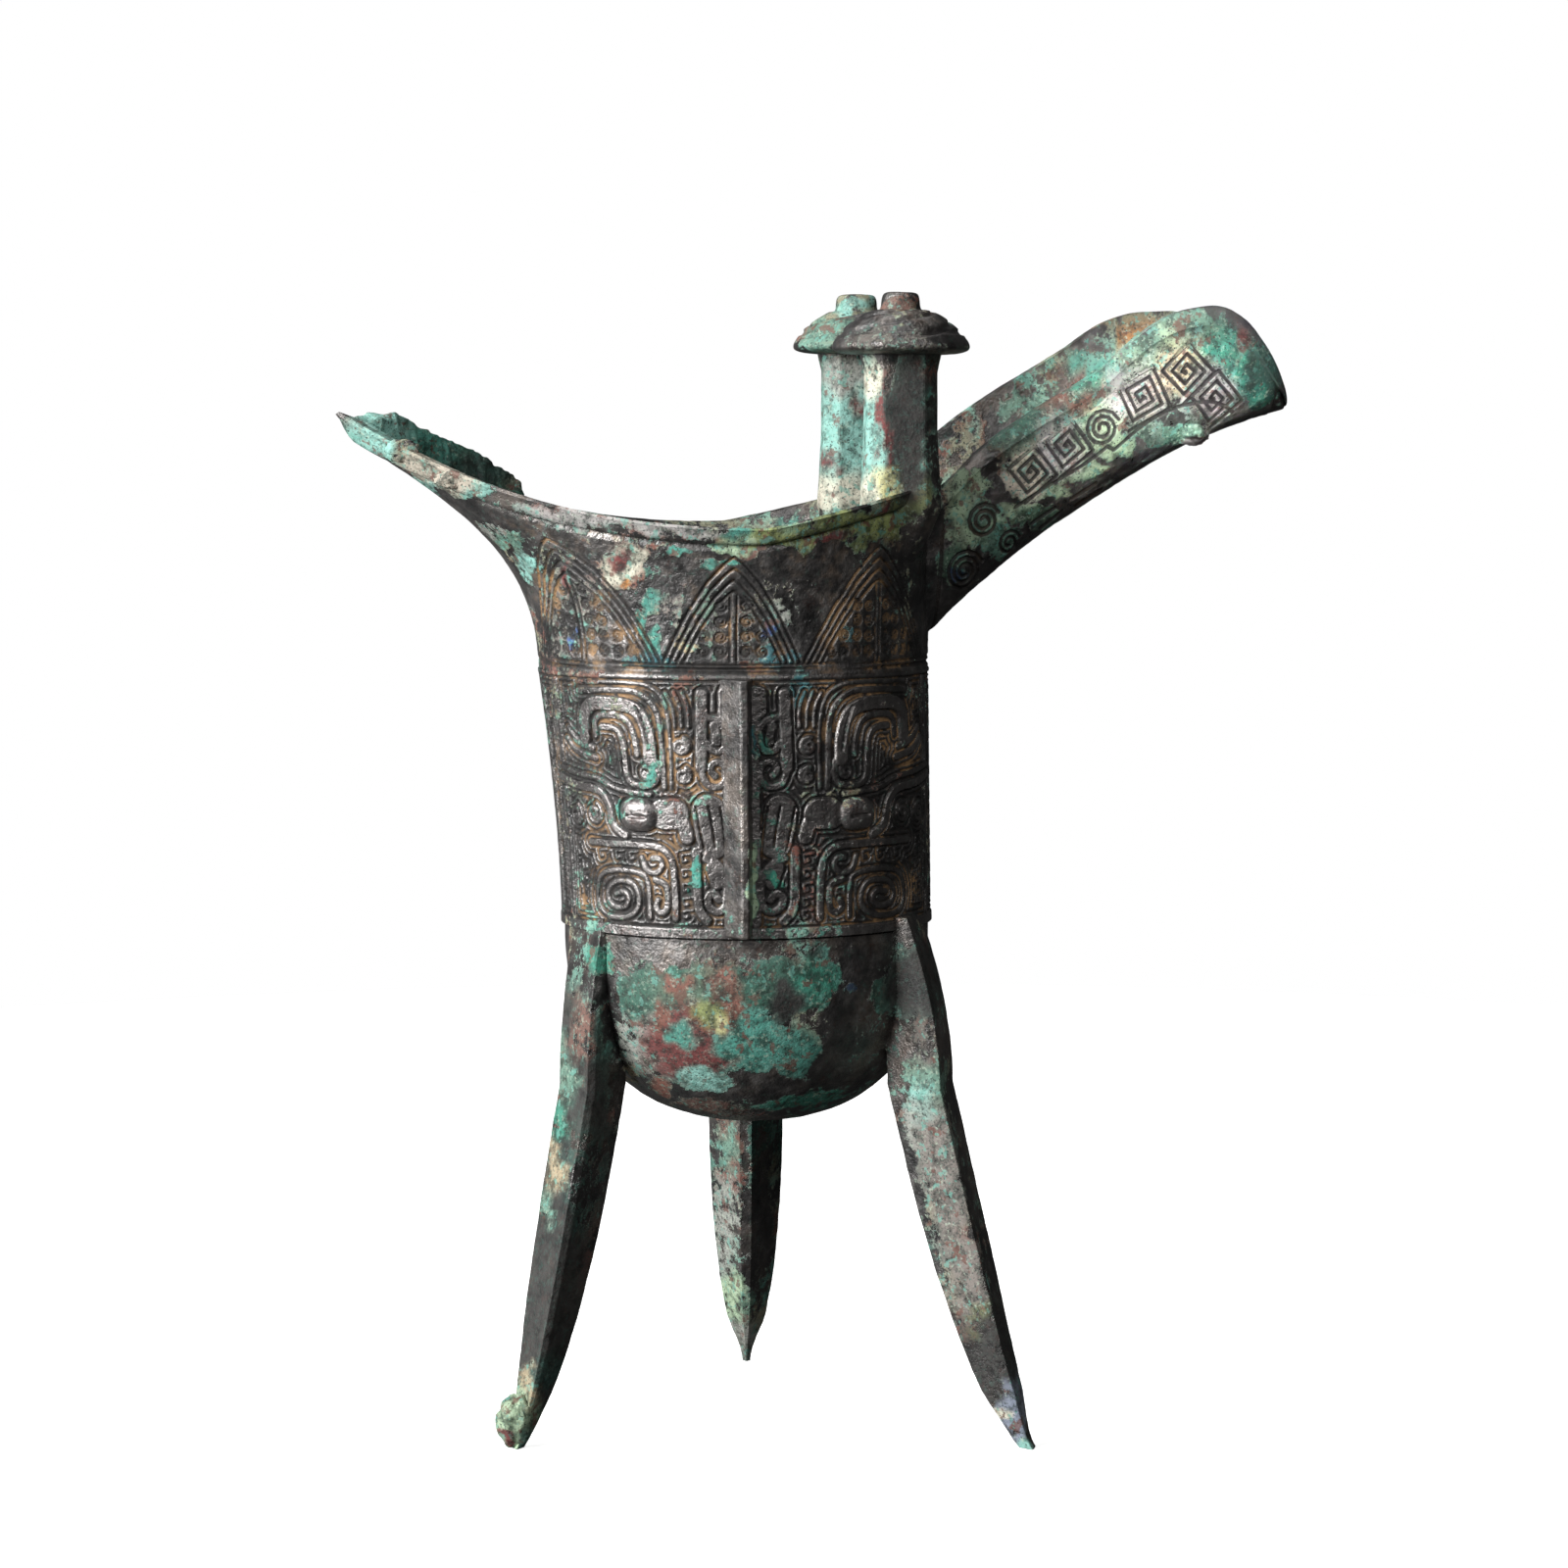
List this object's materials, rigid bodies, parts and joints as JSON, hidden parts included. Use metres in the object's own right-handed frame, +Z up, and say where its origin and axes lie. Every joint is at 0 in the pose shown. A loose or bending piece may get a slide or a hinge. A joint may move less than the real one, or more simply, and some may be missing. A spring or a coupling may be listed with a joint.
{
  "type": "jue wine cup",
  "caption": "Bronze jue: an oval tripod wine cup with a trough spout, pointed tail, capped posts at the rim and a strap handle, for warming and pouring wine.",
  "frame": {"origin": "middle of the bounding box on the ground plane that the three feet stand on", "axes": "+Z up, +X toward the spout, -X toward the tail, +Y toward the handle, -Y toward the front flange"},
  "size_m": [0.166, 0.0856, 0.196],
  "materials": {
    "bronze": "cast bronze with a dark brown-grey surface and green, blue and red corrosion"
  },
  "bodies": {
    "root": {"jue_cup": "bronze"}
  },
  "joints": []
}
